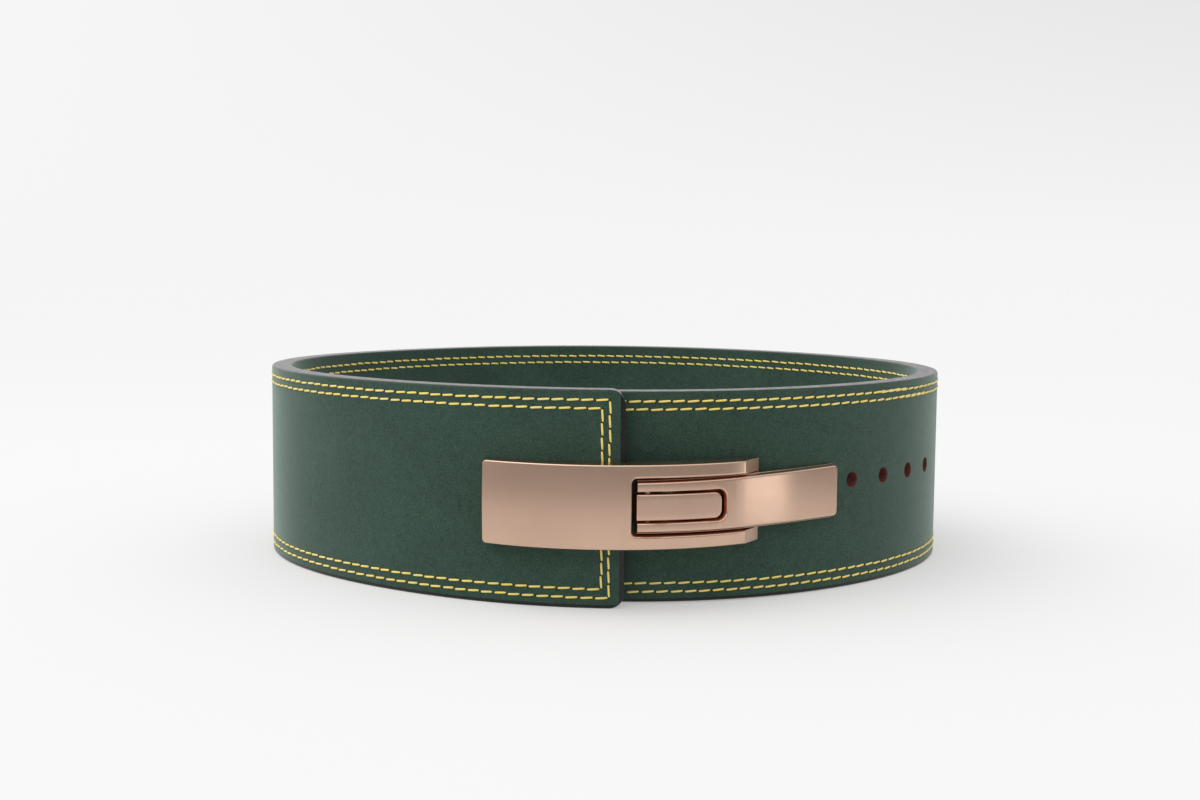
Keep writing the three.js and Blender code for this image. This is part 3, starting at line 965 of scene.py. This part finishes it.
def makeSmudgeGroup():
    # slow change in gloss and shade over a hard finish
    group, inside, out = newGroup("softSmudge", [
        ("Place", "Vector", None), ("Scale", "Float", 60), ("Low", "Float", 0.25), ("High", "Float", 0.35)],
        [("Roughness", "Float"), ("Mask", "Float")])
    cloud = addNode(group, "TexNoise")
    setSockets(cloud, Detail=4, Roughness=0.6)
    group.links.new(inside.outputs["Place"], cloud.inputs["Vector"])
    group.links.new(inside.outputs["Scale"], cloud.inputs["Scale"])
    mask = spread(group, cloud.outputs["Fac"], 0.35, 0.65)
    width = doMath(group, "SUBTRACT", inside.outputs["High"], inside.outputs["Low"])
    level = doMath(group, "ADD", inside.outputs["Low"], doMath(group, "MULTIPLY", mask, width))
    group.links.new(level, out.inputs["Roughness"])
    group.links.new(mask, out.inputs["Mask"])
    return group


napGroup = makeNapGroup()
smudgeGroup = makeSmudgeGroup()


def startMaterial(name):
    material = bpy.data.materials.new(name)
    material.use_nodes = True
    tree = material.node_tree
    shader = tree.nodes["Principled BSDF"]
    place = addNode(tree, "TexCoord").outputs["Object"]
    return material, tree, shader, place


def useGroup(tree, group, place, **values):
    node = addNode(tree, "Group")
    node.node_tree = group
    tree.links.new(place, node.inputs["Place"])
    for key, value in values.items():
        node.inputs[key].default_value = value
    return node


def raiseSurface(tree, shader, height, distance, strength):
    bump = addNode(tree, "Bump")
    setSockets(bump, Strength=strength, Distance=distance)
    tree.links.new(height, bump.inputs["Height"])
    tree.links.new(bump.outputs["Normal"], shader.inputs["Normal"])


def makeGreenSuede():
    material, tree, shader, place = startMaterial("greenSuede")
    nap = useGroup(tree, napGroup, place, Light=(0.052, 0.1, 0.074, 1), Dark=(0.012, 0.029, 0.02, 1))
    tree.links.new(nap.outputs["Color"], shader.inputs["Base Color"])
    setSockets(shader, Roughness=0.95)
    setSockets(shader, **{"Specular IOR Level": 0.25, "Sheen Weight": 0.6, "Sheen Roughness": 0.38,
                          "Sheen Tint": (0.75, 0.9, 0.82, 1)})
    raiseSurface(tree, shader, nap.outputs["Height"], 0.25 * mm, 0.55)
    return material


def makeEdgePaint():
    material, tree, shader, place = startMaterial("blackEdgePaint")
    smudge = useGroup(tree, smudgeGroup, place, Scale=300, Low=0.2, High=0.34)
    tree.links.new(smudge.outputs["Roughness"], shader.inputs["Roughness"])
    grain = noise(tree, place, 500, 4, 0.6)
    share = spread(tree, grain.outputs["Fac"], 0.35, 0.65)
    colour = blend(tree, share, (0.003, 0.003, 0.003, 1), (0.012, 0.011, 0.01, 1))
    tree.links.new(colour, shader.inputs["Base Color"])
    setSockets(shader, **{"Specular IOR Level": 0.36})
    raiseSurface(tree, shader, grain.outputs["Fac"], 0.3 * mm, 0.35)
    return material


def makeRawLeather():
    material, tree, shader, place = startMaterial("rawLeather")
    grain = noise(tree, place, 900, 4, 0.7)
    share = spread(tree, grain.outputs["Fac"], 0.35, 0.65)
    colour = blend(tree, share, (0.07, 0.012, 0.009, 1), (0.15, 0.032, 0.022, 1))
    tree.links.new(colour, shader.inputs["Base Color"])
    setSockets(shader, Roughness=0.8)
    raiseSurface(tree, shader, grain.outputs["Fac"], 0.2 * mm, 0.5)
    return material


def makeThread():
    material, tree, shader, place = startMaterial("yellowThread")
    along = addNode(tree, "UVMap", uv_map="threadMap").outputs["UV"]
    twist = addNode(tree, "Mapping")
    setSockets(twist, Rotation=(0, 0, math.radians(28)), Scale=(1, 3, 1))
    tree.links.new(along, twist.inputs["Vector"])
    strands = addNode(tree, "TexWave", bands_direction="X")
    setSockets(strands, Scale=0.42, Distortion=0.6, Detail=1)
    tree.links.new(twist.outputs["Vector"], strands.inputs["Vector"])
    shade = noise(tree, place, 60, 2, 0.5)
    # painted shade: the strand pattern is coloured darker where its bump runs low, in the grooves of the
    # twist
    share = spread(tree, strands.outputs["Fac"], 0.0, 0.6)
    colour = blend(tree, share, (0.78, 0.53, 0.07, 1), (1.0, 0.8, 0.17, 1))
    paler = spread(tree, shade.outputs["Fac"], 0.3, 0.7, 0, 0.25)
    colour = blend(tree, paler, colour, (1.0, 0.86, 0.36, 1))
    tree.links.new(colour, shader.inputs["Base Color"])
    setSockets(shader, Roughness=0.55)
    setSockets(shader, **{"Sheen Weight": 0.3})
    raiseSurface(tree, shader, strands.outputs["Fac"], 0.15 * mm, 0.4)
    return material


def makeNeedleHoleShade():
    # painted shade: a near-black finish for the needle-hole dimples, in place of the shade inside the holes
    material, tree, shader, place = startMaterial("needleHoleShade")
    grain = noise(tree, place, 1500, 2, 0.6)
    colour = blend(tree, grain.outputs["Fac"], (0.012, 0.014, 0.006, 1), (0.04, 0.035, 0.012, 1))
    tree.links.new(colour, shader.inputs["Base Color"])
    setSockets(shader, Roughness=0.95)
    return material


def makeSatinMetal(name, light, dark, low, high, grainScale):
    # plated satin finish with a faint grain along the buckle
    material, tree, shader, place = startMaterial(name)
    smudge = useGroup(tree, smudgeGroup, place, Scale=45, Low=low, High=high)
    tree.links.new(smudge.outputs["Roughness"], shader.inputs["Roughness"])
    colour = blend(tree, smudge.outputs["Mask"], light, dark)
    tree.links.new(colour, shader.inputs["Base Color"])
    setSockets(shader, Metallic=1)
    stretch = addNode(tree, "Mapping")
    setSockets(stretch, Scale=(0.05, 0.05, 1))
    tree.links.new(place, stretch.inputs["Vector"])
    grain = noise(tree, stretch.outputs["Vector"], grainScale, 3, 0.6)
    raiseSurface(tree, shader, grain.outputs["Fac"], 0.01 * mm, 0.12)
    return material


def makeSlitReflectionPaint():
    # painted reflection: a deeper red, half-metallic finish on the walls in the slits, standing in for the
    # plating's reflections of itself there
    material, tree, shader, place = startMaterial("slitReflectionPaint")
    smudge = useGroup(tree, smudgeGroup, place, Scale=200, Low=0.35, High=0.5)
    tree.links.new(smudge.outputs["Roughness"], shader.inputs["Roughness"])
    tree.links.new(blend(tree, smudge.outputs["Mask"], (0.62, 0.16, 0.06, 1), (0.5, 0.11, 0.04, 1)),
                   shader.inputs["Base Color"])
    setSockets(shader, Metallic=0.35)
    return material


greenSuede = makeGreenSuede()
blackEdgePaint = makeEdgePaint()
rawLeather = makeRawLeather()
yellowThread = makeThread()
needleHoleShade = makeNeedleHoleShade()
roseMetal = makeSatinMetal("roseGoldPlating", (0.64, 0.44, 0.33, 1), (0.62, 0.42, 0.315, 1), 0.23, 0.26, 2500)
slitReflectionPaint = makeSlitReflectionPaint()
pinSteel = makeSatinMetal("pinSteel", (0.6, 0.5, 0.44, 1), (0.5, 0.42, 0.37, 1), 0.25, 0.35, 1500)
print("finishes mixed")

finishPiece(beltStrap, "strap_leather", [greenSuede, blackEdgePaint, rawLeather], "belt_strap")
finishPiece(outerStitching, "strap_leather", [yellowThread])
finishPiece(innerStitching, "strap_leather", [yellowThread])
finishPiece(outerNeedleHoles, "strap_leather", [needleHoleShade])
finishPiece(innerNeedleHoles, "strap_leather", [needleHoleShade])
finishPiece(catchPlate, "plate_metal", [roseMetal, slitReflectionPaint], "catch_plate")
finishPiece(leverPiece, "lever_metal", [roseMetal, slitReflectionPaint], "lever")
finishPiece(leverBase, "base_metal", [roseMetal], "lever_base")
finishPiece(hingePinUpper, "pin_steel", [pinSteel], "hinge_pin_upper")
finishPiece(hingePinLower, "pin_steel", [pinSteel], "hinge_pin_lower")
finishPiece(tonguePin, "pin_steel", [pinSteel], "tongue_pin")
finishPiece(baseScrewLeft, "screw_metal", [roseMetal], "base_screw_left")
finishPiece(baseScrewRight, "screw_metal", [roseMetal], "base_screw_right")
for path in (loopPath, bucklePath):
    bpy.data.objects.remove(path, do_unlink=True)


# studio

studio = {
    "floorHalf": 6,
    "floorColour": (0.445, 0.445, 0.445, 1),
    "floorGlow": 0.36,  # a little light comes up through the table
    "horizon": 0.915,  # of the pale backdrop, and how it fades upwards and to the right
    "fadeUp": -0.35,
    "fadeRight": -1.2,
    "dimFront": 0.4,  # low down in front and on the right
    "topLeft": 1.85,
    "topRight": 0.92,
    # place, what it points at, size and power of each soft light
    "softboxes": {
        "overheadSoftbox": ((-0.45, 0.05, 1.3), (0, 0, 0.05), (0.9, 0.9), 1.8),
        "kicker": ((0.3, -0.215, 0.038), (0.07, -0.15, 0.048), (0.045, 0.066), 0.013),
    },
    # dark ring just over the floor that only reflections see: inner and outer radius, and its stretch
    "card": (0.5, 3),
    "cardStretch": (0.89, 1.04, 1),
}


def makeFloor():
    setDown()
    bpy.ops.mesh.primitive_plane_add(size=2 * studio["floorHalf"], location=(0, 0, 0))
    floor = bpy.context.object
    floor.name = floor.data.name = "studioFloor"
    material, tree, shader, place = startMaterial("palePaper")
    shade = noise(tree, place, 3, 2, 0.5)
    r, g, b, a = studio["floorColour"]
    colour = blend(tree, shade.outputs["Fac"], (r, g, b, a), (r * 0.99, g * 0.99, b * 0.99, a))
    tree.links.new(colour, shader.inputs["Base Color"])
    setSockets(shader, Roughness=0.9)
    setSockets(shader, **{"Specular IOR Level": 0, "Emission Color": (1, 1, 1, 1),
                          "Emission Strength": studio["floorGlow"]})
    floor.data.materials.append(material)


def makeCard():
    inner, far = studio["card"]
    setDown()
    bpy.ops.mesh.primitive_circle_add(vertices=64, radius=inner, fill_type="NOTHING", location=(0, 0, mm))
    bpy.ops.object.transform_apply(location=True, rotation=True, scale=True)
    card = bpy.context.object
    card.name = card.data.name = "darkCard"
    editWhere(card, "EDGE", lambda a, b: True)
    bpy.ops.mesh.extrude_region_move()
    bpy.ops.transform.resize(value=(far / inner, far / inner, 1), center_override=(0, 0, mm))
    bpy.ops.mesh.select_all(action="SELECT")
    bpy.ops.transform.resize(value=studio["cardStretch"], center_override=(0, 0, mm))
    stopEditing()
    material, tree, shader, place = startMaterial("duskyCard")
    shade = noise(tree, place, 3, 2, 0.5)
    tree.links.new(blend(tree, shade.outputs["Fac"], (0.19, 0.185, 0.18, 1), (0.21, 0.205, 0.2, 1)),
                   shader.inputs["Base Color"])
    setSockets(shader, Roughness=0.9)
    card.data.materials.append(material)
    card.visible_camera = card.visible_diffuse = card.visible_shadow = card.visible_transmission = False


def makeSoftboxes():
    for name, (place, target, size, power) in studio["softboxes"].items():
        lamp = bpy.data.lights.new(name, "AREA")
        lamp.shape = "RECTANGLE"
        lamp.size, lamp.size_y = size
        lamp.energy = power
        softbox = bpy.data.objects.new(name, lamp)
        bpy.context.collection.objects.link(softbox)
        softbox.location = place
        softbox.visible_diffuse = name != "kicker"
        softbox.rotation_euler = (Vector(target) - Vector(place)).to_track_quat("-Z", "Y").to_euler()


def makeSky():
    # pale all round behind the belt, dim low down in front, and soft light from above, more of it on the left
    world = bpy.data.worlds.new("studioSky")
    world.use_nodes = True
    bpy.context.scene.world = world
    tree = world.node_tree
    towards = addNode(tree, "SeparateXYZ")
    tree.links.new(addNode(tree, "TexCoord").outputs["Generated"], towards.inputs[0])
    right, back, up = (towards.outputs[name] for name in "XYZ")
    risen = doMath(tree, "MAXIMUM", up, 0)
    slope = doMath(tree, "ADD", doMath(tree, "MULTIPLY", right, studio["fadeRight"]), studio["fadeUp"])
    pale = doMath(tree, "ADD", doMath(tree, "MULTIPLY", slope, risen), studio["horizon"])
    around = doMath(tree, "SUBTRACT", back, doMath(tree, "MULTIPLY", right, 0.7))
    low = blend(tree, spread(tree, around, -0.1, 0.5), [studio["dimFront"]] * 3 + [1], pale)
    top = spread(tree, right, -0.7, 0.7, studio["topLeft"], studio["topRight"])
    sky = blend(tree, spread(tree, up, 0.2, 0.6), low, top)
    tree.links.new(sky, tree.nodes["Background"].inputs["Color"])


photoCamera = {
    "lens": 48,
    "sensorWidth": 36,
    "tilt": 5.304,  # degrees down from level
    "roll": 0.503,
    "place": (-3.27 * mm, -890.34 * mm, 162.44 * mm),
}


def makeCamera():
    lens = bpy.data.cameras.new("photoCamera")
    lens.lens = photoCamera["lens"]
    lens.sensor_width = photoCamera["sensorWidth"]
    lens.clip_start, lens.clip_end = 0.01, 50
    lens.dof.use_dof = False
    camera = bpy.data.objects.new("photoCamera", lens)
    bpy.context.collection.objects.link(camera)
    tilt = Matrix.Rotation(math.radians(90 - photoCamera["tilt"]), 4, "X")
    roll = Matrix.Rotation(math.radians(photoCamera["roll"]), 4, "Z")
    camera.matrix_world = Matrix.Translation(photoCamera["place"]) @ tilt @ roll
    bpy.context.scene.camera = camera


makeFloor()
makeCard()
makeSoftboxes()
makeSky()
makeCamera()
bpy.context.scene.view_settings.view_transform = "Standard"
print("studio lit")

bpy.context.view_layer.update()
